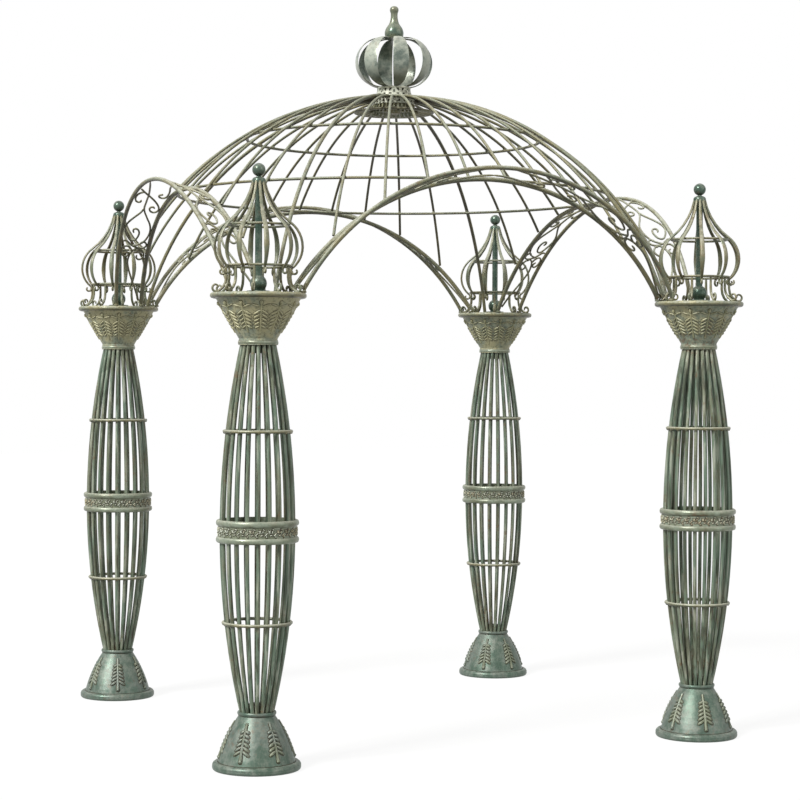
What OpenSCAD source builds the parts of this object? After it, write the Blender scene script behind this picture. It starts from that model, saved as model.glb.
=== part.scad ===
// Round garden gazebo of welded iron bar: four cage posts on bell feet, a ribbed dome,
// four arched visors filled with scrolls, an onion cage over each post and a strap ball on top.
// Millimetres, +Z up, origin on the ground at the middle of the gazebo.

/* [Plan] */
// Radius of the circle through the four post axes
post_circle_r = 1400; // [1300:10:1500]

/* [Bell foot] */
// Height of the bell foot up to the seat of the rods
foot_h = 212; // [190:1:235]
// Radius of the bead round the bottom of the foot
foot_r = 173; // [150:1:185]
// Thickness of the bell's wall
foot_wall = 4; // [3:0.5:6]

/* [Cage post] */
// Number of rods in a post
rod_count = 20; // [16:1:20]
// Radius of a rod
rod_r = 8; // [6:0.5:8]
// Radius from the post axis to a rod's axis at its foot
rod_foot_r = 58; // [57:0.5:62]
// Radius from the post axis to a rod's axis at the belly
rod_belly_r = 139; // [125:1:145]
// Height of the belly and of the band round it
belly_z = 924; // [880:4:960]
// Radius from the post axis to a rod's axis at its top
rod_top_r = 61; // [59:0.5:64]
// Height of the lower wire hoop
low_hoop_z = 568; // [540:4:640]
// Height of the upper wire hoop
high_hoop_z = 1310; // [1240:5:1380]
// Radius of the hoop wire
hoop_wire_r = 4; // [3:0.5:5]
// Height of the belly band
band_h = 88; // [70:2:100]

/* [Capital] */
// Height of the underside of the capital, where the rods end
capital_z = 1654; // [1600:2:1700]
// Height of the capital from the rods' ends to its flat top
capital_h = 192; // [170:2:210]
// Outer radius of the rolled rim
rim_r = 187; // [186:1:192]
// Radius of the roll of the rim
rim_roll_r = 10; // [8:0.5:10]

/* [Onion cage] */
// Number of bars in an onion cage
onion_bars = 10; // [8:2:10]
// Width and thickness of an onion bar
onion_bar_t = 10; // [7:0.5:10]
// Largest radius of the onion cage, to the bars' axes
onion_r = 170; // [160:1:174]
// Height of the lower hoop of the cage above the capital
onion_hoop_lift = 104; // [98:1:112]
// Radius of the lower hoop of the cage
onion_hoop_r = 126; // [122:1:130]
// Width and thickness of a leg of the cage
leg_t = 9; // [7:0.5:10]
// Radius of the centre spindle
spindle_r = 14; // [10:0.5:14]
// Radius of the ball on the onion
ball_r = 24; // [20:0.5:27]

/* [Dome] */
// Height of the crown of the dome above the capitals
dome_rise = 926; // [860:2:990]
// Radius of a rib
rib_r = 6; // [5:0.25:6.5]
// Radius of the four corner ribs
corner_rib_r = 8; // [7:0.25:8.5]
// Number of ribs that end on each arch
bay_ribs = 8; // [4:4:8]
// Radius of the wire of the dome's hoops
dome_hoop_wire_r = 6; // [5:0.25:7]
// Angle from the crown of the dome down to its upper hoop
high_ring_turn = 30.7; // [26:0.1:34]

/* [Arches] */
// Radius of the inner rail
inner_rail_r = 10; // [8:0.5:11]
// Radius of the outer rail
outer_rail_r = 9; // [8:0.5:10]
// Height of the crown of the inner rail above the capitals
inner_crown_rise = 480; // [460:2:500]
// Height of the crown of the outer rail above the capitals
outer_crown_rise = 514; // [490:2:530]
// Distance that the crown of the outer rail stands out beyond the inner one
visor_reach = 148; // [135:1:160]
// Half thickness of the scroll bar
scroll_r = 4; // [3:0.25:4.5]

/* [Crown] */
// Radius of the dish that hangs under the crown of the dome
dish_r = 180; // [150:2:200]
// Drop from the crown of the dome to the rim of the dish
dish_drop = 72; // [60:2:90]
// Radius of the hub that the ribs butt against
hub_r = 88; // [86:1:94]
// Height of the pierced collar
collar_h = 45; // [36:1:54]
// Largest radius of the strap ball
strap_ball_r = 171; // [150:1:185]
// Number of straps
strap_count = 8; // [6:1:10]
// Angle that one strap spans round the ball
strap_span = 26; // [18:1:30]
// Angle from +X to the middle of the first strap
strap_turn = 33; // [0:1:45]
// Thickness of a strap
strap_t = 5; // [3:0.5:7]
// Height of the turned finial over the strap ball
top_finial_h = 143; // [120:1:165]

/* [Hidden] */
$fn = 48;
// Clearance left where two pieces seat
seat = 0.25;
// Steps of a drawn arc in an outline
arc_steps = 8;
verdigris = [0.47, 0.53, 0.47];
teal_paint = [0.40, 0.50, 0.46];
olive_paint = [0.52, 0.51, 0.42];
post_d = post_circle_r * cos(45);
post_names = ["front_left", "front_right", "back_left", "back_right"];
bay_names = ["front", "back", "left", "right"];
capital_top_z = capital_z + capital_h;
// The dome is a sphere through its crown and the feet of the corner ribs
corner_foot_in = 155;
corner_foot_r = post_circle_r - corner_foot_in;
dome_r = (corner_foot_r ^ 2 + dome_rise ^ 2) / (2 * dome_rise);
dome_top_z = capital_top_z + dome_rise;
dome_z = dome_top_z - dome_r;
// All ribs lie on the hoops with the same underside
dome_under_r = dome_r - rib_r;

// Posts: signs of the x and y of each post, in the order of post_names
post_side = [[-1, -1], [1, -1], [-1, 1], [1, 1]];
// Bays: turn of each bay about Z from the bay that faces +X, in the order of bay_names
bay_turn = [-90, 90, 180, 0];

// Points of an arc from a to b that stands proud of its chord on the left by a given rise
function arc_through(a, b, rise) =
    let (half = norm(b - a) / 2,
         r = (half * half + rise * rise) / (2 * rise),
         along = (b - a) / (2 * half),
         left = [-along[1], along[0]],
         mid = (a + b) / 2,
         c = mid - left * (r - rise),
         sweep = 2 * asin(half / r))
    [for (i = [0:arc_steps])
        let (t = sweep * (i / arc_steps - 0.5))
        c + r * (sin(t) * along + cos(t) * left)];

// Bent bars: a bar starts at a point with a heading and takes a list of bends,
// each [radius, turn], where a left turn is positive and [0, length] is a straight run
function bend_end(p, h, b) = b[0] == 0
    ? [p + b[1] * [cos(h), sin(h)], h]
    : let (s = b[1] > 0 ? 1 : -1, c = p + s * b[0] * [-sin(h), cos(h)], h2 = h + b[1])
      [c + s * b[0] * [sin(h2), -cos(h2)], h2];
function bend_state(p, h, bends, count) = count == 0
    ? [p, h]
    : let (before = bend_state(p, h, bends, count - 1))
      bend_end(before[0], before[1], bends[count - 1]);
// Points and headings along one bend, without its start
function bend_run(p, h, b, step) = b[0] == 0
    ? [bend_end(p, h, b)]
    : let (n = max(1, ceil(abs(b[1]) / step)))
      [for (i = [1:n]) bend_end(p, h, [b[0], b[1] * i / n])];
function bend_states(p, h, bends, step) = concat([[p, h]],
    [for (i = [0:len(bends) - 1])
        let (s = bend_state(p, h, bends, i))
        each bend_run(s[0], s[1], bends[i], step)]);
// The same bends taken from the other end
function backwards(bends) =
    [for (i = [len(bends) - 1:-1:0]) [bends[i][0], bends[i][0] == 0 ? bends[i][1] : -bends[i][1]]];

// One flat bar in the XZ plane along a list of bends
module bent_bar(p, h, bends, step, thick, width) {
    states = bend_states(p, h, bends, step);
    left = [for (s = states) s[0] + thick / 2 * [-sin(s[1]), cos(s[1])]];
    right = [for (i = [len(states) - 1:-1:0]) states[i][0] - thick / 2 * [-sin(states[i][1]), cos(states[i][1])]];
    rotate([90, 0, 0]) linear_extrude(width, center = true) polygon(concat(left, right));
}

// One round bar bowed in the XZ plane about a centre, between two angles above the X axis
module bowed_bar(c, bow, from, to, r) {
    translate([c[0], 0, c[1]]) rotate([90, 0, 0]) rotate([0, 0, from])
        rotate_extrude(angle = to - from) translate([bow, 0]) circle(r = r);
}

// A wire hoop about the Z axis
module hoop(r, z, wire) {
    translate([0, 0, z]) rotate_extrude() translate([r, 0]) circle(r = wire);
}

// Copies its children to one post
module at_post(i) {
    turn = atan2(post_side[i][1], post_side[i][0]) + 180;
    translate([post_side[i][0] * post_d, post_side[i][1] * post_d, 0]) rotate([0, 0, turn]) children();
}

// Bell foot: an open shell with a beaded rim below and a lipped seat for the rods above
foot_bead_h = 20;
foot_shoulder_r = foot_r - 21;
foot_lip_h = 12;
foot_lip_in = rod_foot_r + rod_r + 3;
foot_lip_r = foot_lip_in + 5;
foot_bell_rise = 9;
module foot() {
    color(teal_paint) rotate_extrude() polygon(concat(
        arc_through([foot_r - 5, foot_bead_h], [foot_r - 5, 0], 5),
        [[foot_shoulder_r - 2, 0]],
        arc_through([foot_shoulder_r - foot_wall, foot_bead_h],
                    [foot_lip_in - foot_wall, foot_h - 2 * foot_wall], -foot_bell_rise),
        [[0, foot_h - 2 * foot_wall], [0, foot_h], [foot_lip_in, foot_h],
         [foot_lip_in, foot_h + foot_lip_h]],
        arc_through([foot_lip_r, foot_h + foot_lip_h], [foot_lip_r, foot_h], 2),
        arc_through([foot_lip_r - 3, foot_h - foot_wall], [foot_shoulder_r, foot_bead_h + 4], foot_bell_rise)));
}

// Rods: each is spliced behind the belly band from a lower and an upper bow
rod_foot_z = foot_h + seat + rod_r * 0.22;
rod_end_z = capital_z - seat - rod_r * 0.22;
function bow_of(rise, depth) = (rise ^ 2 + depth ^ 2) / (2 * depth);
rod_low_bow = bow_of(belly_z - rod_foot_z, rod_belly_r - rod_foot_r);
rod_high_bow = bow_of(rod_end_z - belly_z, rod_belly_r - rod_top_r);
rod_low_turn = asin((belly_z - rod_foot_z) / rod_low_bow);
rod_high_turn = asin((rod_end_z - belly_z) / rod_high_bow);
module rods() {
    color(verdigris)
        for (k = [0:rod_count - 1])
            rotate([0, 0, 360 / rod_count * (k + 0.5)]) {
                bowed_bar([rod_belly_r - rod_low_bow, belly_z - seat / 2], rod_low_bow, -rod_low_turn, 0, rod_r);
                bowed_bar([rod_belly_r - rod_high_bow, belly_z + seat / 2], rod_high_bow, 0, rod_high_turn, rod_r);
            }
}

// Radius of the rods' axes at a height, and their lean there
function rod_bow(z) = z < belly_z ? rod_low_bow : rod_high_bow;
function rod_lean(z) = asin(abs(z - belly_z) / rod_bow(z));
function rod_axis_r(z) = rod_belly_r - rod_bow(z) * (1 - cos(rod_lean(z)));
function wrap_hoop_r(z) = rod_axis_r(z) + (rod_r + hoop_wire_r + seat) / cos(rod_lean(z));

// Bands round a post: the wire hoops and the beaded belly band
band_in = rod_belly_r + rod_r + seat;
band_wall = 5;
band_bead_h = 16;
module bands() {
    color(olive_paint) {
        hoop(wrap_hoop_r(low_hoop_z), low_hoop_z, hoop_wire_r);
        hoop(wrap_hoop_r(high_hoop_z), high_hoop_z, hoop_wire_r);
        translate([0, 0, belly_z - band_h / 2]) rotate_extrude() polygon(concat(
            [[band_in, 0], [band_in, band_h]],
            arc_through([band_in + band_wall, band_h], [band_in + band_wall, band_h - band_bead_h], 6),
            arc_through([band_in + band_wall, band_bead_h], [band_in + band_wall, 0], 6)));
    }
}

// Capital: a conical cup turned open side down, with a rolled rim and a lipped collar for the rods
capital_wall = 5;
capital_plate = 8;
collar_lip_in = rod_top_r + rod_r + 2;
collar_lip_r = collar_lip_in + 6;
collar_lip_h = 10;
capital_cone_r = rim_r - 2 * rim_roll_r + 2;
capital_bore_r = rod_top_r - rod_r - 4;
module capital() {
    rim_z = capital_h - rim_roll_r;
    color(olive_paint) translate([0, 0, capital_z]) rotate_extrude() polygon(concat(
        [[0, capital_h], [0, capital_h - capital_plate],
         [capital_cone_r - 2 * capital_wall, capital_h - capital_plate],
         [collar_lip_in, capital_plate + 4], [capital_bore_r, capital_plate + 4], [capital_bore_r, 0],
         [collar_lip_in, 0], [collar_lip_in, -collar_lip_h]],
        arc_through([collar_lip_r, capital_plate], [collar_lip_r, -collar_lip_h], -3),
        [[collar_lip_r - 2, capital_plate + 6]],
        [[capital_cone_r, rim_z - rim_roll_r / 2]],
        [for (t = [-60:15:90]) [rim_r - rim_roll_r, rim_z] + rim_roll_r * [cos(t), sin(t)]]));
}

// Onion cage: bowed bars that curl below the lower hoop, two hoops inside them and flared legs
onion_hoop_z = capital_top_z + onion_hoop_lift;
onion_wire_r = 5;
onion_low_heading = 40;
onion_tip_heading = 102;
onion_neck_turn = 53;
onion_neck_r = 23;
onion_step = 14;
onion_off = onion_wire_r + onion_bar_t / 2 + seat;
onion_touch = [onion_hoop_r, onion_hoop_z]
    + onion_off * [sin(onion_low_heading), -cos(onion_low_heading)];
onion_low_bow = (onion_r - onion_touch[0]) / (1 - sin(onion_low_heading));
onion_high_bow = 118;
onion_shoulder_r = onion_r - onion_high_bow * (1 - cos(onion_neck_turn));
onion_neck_bow = (onion_shoulder_r - onion_neck_r) / (sin(onion_tip_heading) - cos(onion_neck_turn));
onion_bends = [[onion_low_bow, 90 - onion_low_heading], [onion_high_bow, onion_neck_turn],
               [onion_neck_bow, onion_tip_heading - 90 - onion_neck_turn]];
onion_curl = [[13, 160], [9, 90]];
onion_curl_end = bend_state(onion_touch, onion_low_heading + 180, onion_curl, len(onion_curl));
onion_shoulder = bend_state(onion_touch, onion_low_heading, onion_bends, 2);
onion_tip = bend_state(onion_touch, onion_low_heading, onion_bends, 3);
onion_tip_z = onion_tip[0][1] + onion_bar_t / 2 * abs(cos(onion_tip_heading));
// A leg drops from the lower hoop, flares out over the capital and curls up at its tip
leg_flare_r = 60;
leg_toe_r = 20;
leg_turn = 60;
leg_step = 24;
leg_foot_z = capital_top_z + seat + leg_t / 2;
leg_top_z = onion_hoop_z - onion_wire_r - seat;
leg_flare_drop = leg_flare_r * sin(leg_turn) + leg_toe_r * (1 - sin(leg_turn));
leg_bends = [[0, leg_top_z - leg_foot_z - leg_flare_drop], [leg_flare_r, leg_turn],
             [leg_toe_r, 90 - leg_turn], [14, 160], [9, 90]];
module onion_cage() {
    color(verdigris) {
        for (k = [0:onion_bars - 1])
            rotate([0, 0, 360 / onion_bars * k])
                bent_bar(onion_curl_end[0], onion_curl_end[1] + 180,
                         concat(backwards(onion_curl), onion_bends), onion_step, onion_bar_t, onion_bar_t);
        for (k = [0:onion_bars - 1])
            rotate([0, 0, 360 / onion_bars * (k + 0.5)])
                bent_bar([onion_hoop_r, leg_top_z], -90, leg_bends, leg_step, leg_t, leg_t);
        hoop(onion_hoop_r, onion_hoop_z, onion_wire_r);
        hoop(onion_shoulder[0][0] - onion_off * sin(onion_shoulder[1]),
             onion_shoulder[0][1] + onion_off * cos(onion_shoulder[1]), onion_wire_r);
    }
}

// Spindle: flange, boss, rod, cap over the bars' tips and the ball
spindle_flange_r = 46;
spindle_boss_r = 33;
spindle_cap_r = onion_neck_r + onion_bar_t / 2 + 3;
spindle_cap_h = 11;
spindle_cone_h = 16;
module spindle() {
    base = capital_top_z + seat;
    cap = onion_tip_z + seat;
    top = cap + spindle_cap_h + spindle_cone_h;
    color(teal_paint) {
        translate([0, 0, base]) cylinder(r = spindle_flange_r, h = 8);
        translate([0, 0, base]) cylinder(r = spindle_boss_r * 0.7, h = 20);
        translate([0, 0, base + 10 + spindle_boss_r * 0.8]) sphere(r = spindle_boss_r);
        translate([0, 0, base]) cylinder(r = spindle_r, h = cap + spindle_cap_h - base);
        translate([0, 0, cap]) cylinder(r = spindle_cap_r, h = spindle_cap_h);
        translate([0, 0, cap + spindle_cap_h])
            cylinder(r1 = spindle_cap_r - 2, r2 = spindle_r * 0.6, h = spindle_cone_h);
        translate([0, 0, top + ball_r - 5]) sphere(r = ball_r);
    }
}

// Arches: each rail is a flat arc from rim to rim whose plane leans out over the bay.
// A rail is [distance out at its feet, half span at its feet, distance out and height at its crown]
inner_foot_along = 158;
outer_foot_out = 55;
outer_foot_along = 158;
shoe_r = 12;
shoe_h = 8;
// Even number of steps along a rail, so that one falls on its crown
rail_steps = 32;
inner_crown_z = capital_top_z + inner_crown_rise;
inner_crown_out = sqrt(dome_r ^ 2 - (inner_crown_z - dome_z) ^ 2);
outer_crown_z = capital_top_z + outer_crown_rise;
outer_crown_out = inner_crown_out + visor_reach;
inner_foot_side = post_d - inner_foot_along;
inner_foot_out = sqrt(corner_foot_r ^ 2 - inner_foot_side ^ 2);
inner_foot = [inner_foot_out, inner_foot_side];
outer_foot = [post_d + outer_foot_out, post_d - outer_foot_along];
inner_rail = [inner_foot[0], inner_foot[1], inner_crown_out, inner_crown_z];
outer_rail = [outer_foot[0], outer_foot[1], outer_crown_out, outer_crown_z];
function rail_rise(rail) = norm([rail[2] - rail[0], rail[3] - capital_top_z]);
function rail_lean(rail) = atan2(rail[2] - rail[0], rail[3] - capital_top_z);
function rail_bow(rail) = (rail[1] ^ 2 + rail_rise(rail) ^ 2) / (2 * rail_rise(rail));
function rail_half(rail) = 2 * atan(rail_rise(rail) / rail[1]);
// Point of a rail's axis, with f from 0 at the right foot to 1 at the crown and 2 at the left foot
function rail_point(rail, f) =
    let (t = rail_half(rail) * (1 - f),
         up = rail_bow(rail) * cos(t) - rail_bow(rail) + rail_rise(rail))
    [rail[0] + up * sin(rail_lean(rail)), rail_bow(rail) * sin(t), capital_top_z + up * cos(rail_lean(rail))];

// Half angle of a rail whose end face stands with its lower edge on a shoe
function rail_end(rail, r) =
    let (half = rail_half(rail),
         lean = rail_lean(rail),
         lift = shoe_h + 2 * seat + r * sqrt(1 - (sin(half) * cos(lean)) ^ 2))
    acos(cos(half) + lift / cos(lean) / rail_bow(rail));
module rail_bar(rail, r) {
    bow = rail_bow(rail);
    half = rail_end(rail, r);
    shoe = rail_point(rail, 1 - half / rail_half(rail));
    translate([rail[0], 0, capital_top_z]) rotate([0, rail_lean(rail), 0]) rotate([90, 0, 90])
        translate([0, rail_rise(rail) - bow, 0]) rotate([0, 0, 90 - half])
            rotate_extrude(angle = 2 * half, $fn = round(180 * (rail_steps - 0.5) / half))
                translate([bow, 0]) circle(r = r, $fn = rail_steps);
    for (side = [-1, 1])
        translate([shoe[0], side * shoe[1], capital_top_z + seat]) cylinder(r = shoe_r, h = shoe_h);
}
module arch(turn) {
    color(olive_paint) rotate([0, 0, turn]) {
        rail_bar(inner_rail, inner_rail_r);
        rail_bar(outer_rail, outer_rail_r);
    }
}

// Dome ribs. A rib at an angle from its bay's middle stops short of the inner rail by the room
// that the rail and its own end need where they meet aslant
function rib_meet(a) =
    let (rise = inner_rail[3] - capital_top_z,
         out = inner_rail[2] - inner_rail[0],
         ka = dome_r * cos(a) * rise,
         kb = -dome_r * out,
         kc = inner_rail[0] * rise + (dome_z - capital_top_z) * out)
    asin(kc / norm([ka, kb])) - atan2(kb, ka);
function rib_stop(a) =
    let (t = rib_meet(a),
         n = [sin(t) * cos(a), sin(t) * sin(a), cos(t)],
         down = [cos(t) * cos(a), cos(t) * sin(a), -sin(t)],
         lean = rail_lean(inner_rail),
         along = cross(n, [cos(lean), 0, -sin(lean)]),
         c = abs(down * along) / norm(along),
         s = sqrt(1 - c * c))
    t - ((inner_rail_r + seat) / s + rib_r * c / s) / dome_r * 180 / PI;
rib_start = asin((hub_r + 2 * seat) / dome_r);
module rib(r, from, to) {
    bowed_bar([0, dome_z], dome_under_r + r, 90 - to, 90 - from, r);
}
rib_pitch = 90 / (bay_ribs + 1);
module bay_rib_set(turn) {
    color(verdigris) rotate([0, 0, turn])
        for (k = [1:bay_ribs]) {
            a = k * rib_pitch - 45;
            rotate([0, 0, a]) rib(rib_r, rib_start, rib_stop(a));
        }
}
// A corner rib ends where the lower edge of its end face stands on the capital
corner_axis_r = dome_under_r + corner_rib_r;
corner_rib_lean = asin((capital_top_z - dome_z) / corner_axis_r);
corner_rib_lift = (seat + corner_rib_r * sin(corner_rib_lean)) / cos(corner_rib_lean);
corner_rib_end = 90 - corner_rib_lean - corner_rib_lift / corner_axis_r * 180 / PI;
module corner_ribs() {
    color(verdigris)
        for (k = [0:3])
            rotate([0, 0, 45 + 90 * k]) rib(corner_rib_r, rib_start, corner_rib_end);
}

// Dome hoops lie inside the ribs, the lower one against the crowns of the inner rails
low_ring_r = inner_crown_out - inner_rail_r - dome_hoop_wire_r - seat;
dome_hoop_axis_r = dome_under_r - seat - dome_hoop_wire_r;
module dome_hoops() {
    color(verdigris)
        for (r = [dome_hoop_axis_r * sin(high_ring_turn), low_ring_r])
            hoop(r, dome_z + sqrt(dome_hoop_axis_r ^ 2 - r ^ 2), dome_hoop_wire_r);
}

// Hub: the boss that the ribs butt against and the shallow dish under it
dish_t = 5;
dish_depth = 18;
dish_lip_r = 5;
module crown_hub() {
    color(teal_paint) translate([0, 0, dome_top_z - dish_drop]) rotate_extrude() polygon(concat(
        [[0, 0], [0, dish_drop], [hub_r, dish_drop], [hub_r, dish_depth + dish_t]],
        [for (t = [75:-30:-105]) [dish_r - dish_lip_r, dish_lip_r] + dish_lip_r * [cos(t), sin(t)]],
        [[hub_r, dish_depth], [hub_r * 0.45, dish_depth], [hub_r * 0.3, 0]]));
}

// Collar: a flared ring closed on top
collar_z = dome_top_z + seat;
collar_foot_r = hub_r - 3;
collar_top_r = hub_r - 16;
collar_wall = 6;
module crown_collar() {
    color(olive_paint) translate([0, 0, collar_z]) rotate_extrude() polygon(concat(
        [[0, collar_h], [0, collar_h - collar_wall], [collar_top_r - collar_wall, collar_h - collar_wall],
         [collar_foot_r - collar_wall, 0], [collar_foot_r, 0], [collar_foot_r, 5]],
        arc_through([collar_foot_r - 3, 7], [collar_top_r, collar_h - 6], -2),
        arc_through([collar_top_r, collar_h - 6], [collar_top_r, collar_h], -3)));
}

// Strap ball: each strap is a bowed plate that spans a fixed angle, so it narrows to both ends
strap_z = collar_z + collar_h + seat;
strap_bow = 111;
strap_in_r = strap_ball_r - strap_bow;
strap_tip_r = 44;
module crown_straps() {
    color(teal_paint) translate([0, 0, strap_z + strap_bow])
        for (k = [0:strap_count - 1])
            rotate([0, 0, 360 / strap_count * k + strap_turn - strap_span / 2])
                rotate_extrude(angle = strap_span) {
                    difference() {
                        translate([strap_in_r, 0]) circle(r = strap_bow);
                        translate([strap_in_r, 0]) circle(r = strap_bow - strap_t);
                        translate([strap_in_r - 2 * strap_bow, -strap_bow]) square([2 * strap_bow, 2 * strap_bow]);
                    }
                    translate([strap_tip_r, strap_bow - strap_t]) square([strap_in_r - strap_tip_r, strap_t]);
                }
}

// Turned finial: a disc on the straps, a bulb, a slim neck and a tip ball
finial_z = strap_z + 2 * strap_bow + seat;
bulb_r = 42;
tip_r = 18;
module crown_finial() {
    top = top_finial_h;
    color(teal_paint) translate([0, 0, finial_z]) rotate_extrude() polygon(concat(
        [[0, top], [0, -strap_t], [strap_tip_r - 1, -strap_t], [strap_tip_r - 1, 0], [strap_tip_r + 4, 0],
         [strap_tip_r + 4, 3]],
        arc_through([bulb_r * 0.75, 4], [bulb_r * 0.75, 42], -11),
        arc_through([bulb_r * 0.55, 52], [tip_r * 0.62, top - 2 * tip_r], 6),
        [for (t = [-45:15:75]) [0, top - tip_r] + tip_r * [cos(t), sin(t)]]));
}

// Scrolls: drawn on the visor as if it lay flat, with x along the arch from a foot to the crown
// and y from the inner rail to the outer one, then carried onto the surface between the rails
visor_length = 1000;
visor_width = 100;
scroll_step = 28;
// Place on the visor for flat x and y: the point and the direction square to the visor's face
function visor_place(p) =
    let (f = p[0] / visor_length,
         a = rail_point(inner_rail, f),
         b = rail_point(outer_rail, f),
         w = norm(b - a),
         lo = inner_rail_r + scroll_r + seat,
         hi = w - outer_rail_r - scroll_r - seat,
         across = (b - a) / w,
         run = rail_point(inner_rail, f + 0.01) - a,
         face = cross(run, across) / norm(cross(run, across)))
    [a + across * (lo + (hi - lo) * p[1] / visor_width), face];
// Four corners of the bar's section at point i of a flat path
function scroll_ring(path, i) =
    let (place = visor_place(path[i]),
         before = visor_place(path[max(0, i - 1)])[0],
         after = visor_place(path[min(len(path) - 1, i + 1)])[0],
         side = cross(place[1], (after - before) / norm(after - before)) * scroll_r,
         lift = place[1] * scroll_r)
    [place[0] - side - lift, place[0] + side - lift, place[0] + side + lift, place[0] - side + lift];
module scroll_bar(path) {
    n = len(path);
    points = [for (i = [0:n - 1]) each scroll_ring(path, i)];
    walls = [for (i = [0:n - 2], k = [0:3])
        [4 * i + k, 4 * i + (k + 1) % 4, 4 * i + 4 + (k + 1) % 4, 4 * i + 4 + k]];
    polyhedron(points, concat([[3, 2, 1, 0]], walls, [[for (k = [0:3]) 4 * n - 4 + k]]));
}
// Each scroll is [start, heading, bends] on the flat visor
scrolls = [
    // Long stem that leaves the inner rail at the foot and curls back to it
    [[30, 1.7], 10, [[400, 10], [0, 140], [160, -30], [50, -80], [26, -150], [15, -120]]],
    // Twin curl beside it, against the outer rail
    [[341, 74], -34, [[56, 34], [18, 250], [11, 100]]],
    // Spiral that hangs from the outer rail near the foot
    [[190, 100], 185, [[200, 15], [19, 210], [11, 110]]],
    // Small ring on the inner rail
    [[424, 0], 0, [[15, 345]]],
    // Wavy cross bar
    [[396, 31], 50, [[50, 45], [0, 6], [24, -95]]],
    // Large drop with a curl inside, which runs on to the crown
    [[528, 58], 10, [[13, -120], [20, -90], [31, -80], [40, -75], [0, 40], [200, -32], [0, 40],
                     [260, 18], [0, 40]]],
    // Lobe on the inner rail that closes the drop
    [[458, 39.1], 245, [[26, 100], [90, 35], [0, 66], [300, -14], [0, 48]]],
    // Flat curl on the inner rail by the crown
    [[722, 27.3], 178, [[0, 20], [14, 180], [300, 8], [0, 90], [300, 8], [0, 60]]],
    // Flat curl on the outer rail by the crown
    [[760, 76], 190, [[8, -180], [300, -6], [0, 60], [150, -25], [0, 40]]]];
module scroll_set(turn) {
    color(olive_paint) rotate([0, 0, turn])
        for (half = [0, 1])
            mirror([0, half, 0])
                for (s = scrolls)
                    scroll_bar([for (b = bend_states(s[0], s[1], s[2], scroll_step)) b[0]]);
}

for (i = [0:3]) {
    at_post(i) foot();
    at_post(i) rods();
    at_post(i) bands();
    at_post(i) capital();
    at_post(i) onion_cage();
    at_post(i) spindle();
    arch(bay_turn[i]);
    scroll_set(bay_turn[i]);
    bay_rib_set(bay_turn[i]);
}
corner_ribs();
dome_hoops();
crown_hub();
crown_collar();
crown_straps();
crown_finial();
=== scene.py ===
"""Round gazebo of welded iron bar: aged green paint, leaf relief, bent bars and weld beads."""
import math

import bpy
from mathutils import Matrix, Vector


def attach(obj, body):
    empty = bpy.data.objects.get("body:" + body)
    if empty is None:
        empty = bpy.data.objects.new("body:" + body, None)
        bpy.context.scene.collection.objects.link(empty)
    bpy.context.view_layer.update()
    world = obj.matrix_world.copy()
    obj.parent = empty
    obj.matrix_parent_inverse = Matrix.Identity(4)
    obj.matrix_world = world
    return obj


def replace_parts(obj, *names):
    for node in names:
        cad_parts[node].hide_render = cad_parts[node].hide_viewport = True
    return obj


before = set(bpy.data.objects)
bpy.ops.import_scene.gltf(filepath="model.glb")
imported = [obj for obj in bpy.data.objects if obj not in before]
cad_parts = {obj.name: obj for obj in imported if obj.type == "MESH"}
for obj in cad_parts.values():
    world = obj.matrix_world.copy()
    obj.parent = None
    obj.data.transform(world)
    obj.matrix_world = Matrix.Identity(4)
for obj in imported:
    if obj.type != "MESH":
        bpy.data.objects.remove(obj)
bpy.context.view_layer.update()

# Plan of the gazebo, in metres
POST_NAMES = ("front_left", "front_right", "back_left", "back_right")
POST_SIDES = ((-1, -1), (1, -1), (-1, 1), (1, 1))
BAY_TURNS = {"front": -90, "back": 90, "left": 180, "right": 0}
POST_CIRCLE = 1.4
POST_OUT = POST_CIRCLE * math.cos(math.radians(45))
CAPITAL_FOOT_Z = 1.654
CAPITAL_TOP_Z = 1.846
SEAT_GAP = 0.00025

# Edges that turn less than this, in degrees, are shaded smoothly
SMOOTH_BELOW = 40


def deselect():
    """Leaves edit mode and selects nothing."""
    if bpy.context.object is not None and bpy.context.object.mode == "EDIT":
        bpy.ops.object.mode_set(mode="OBJECT")
    bpy.ops.object.select_all(action="DESELECT")


def edit_all():
    """Enters edit mode on the active piece with everything selected."""
    bpy.ops.object.mode_set(mode="EDIT")
    bpy.ops.mesh.select_all(action="SELECT")


def leave_edit(name):
    """Ends edit mode and names the active piece."""
    bpy.ops.object.mode_set(mode="OBJECT")
    piece = bpy.context.object
    piece.name = name
    return piece


def close_shell(name):
    """Turns all faces of the active piece outward, ends edit mode and names the piece."""
    bpy.ops.mesh.select_all(action="SELECT")
    bpy.ops.mesh.normals_make_consistent(inside=False)
    return leave_edit(name)


def fix_place():
    """Puts the active piece's place and size into its mesh."""
    bpy.ops.object.transform_apply(location=True, rotation=True, scale=True)


def start_ring(sides, radius, place, turn=(0, 0, 0), fill="NOTHING"):
    """Starts a piece from a ring, in edit mode with everything selected."""
    deselect()
    bpy.ops.mesh.primitive_circle_add(vertices=sides, radius=radius, fill_type=fill, location=place,
                                      rotation=turn)
    fix_place()
    edit_all()


def select_only(pieces):
    """Selects the given pieces, with the first one active."""
    deselect()
    for piece in pieces:
        piece.select_set(True)
    bpy.context.view_layer.objects.active = pieces[0]


def join(pieces, name):
    """Joins pieces into one mesh."""
    select_only(pieces)
    if len(pieces) > 1:
        bpy.ops.object.join()
    bpy.context.object.name = name
    return bpy.context.object


def copy_to(piece, name, matrix):
    """Copies a piece with its own mesh and places the copy."""
    select_only([piece])
    bpy.ops.object.duplicate(linked=False)
    twin = bpy.context.object
    twin.matrix_world = matrix
    fix_place()
    twin.name = name
    return twin


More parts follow.
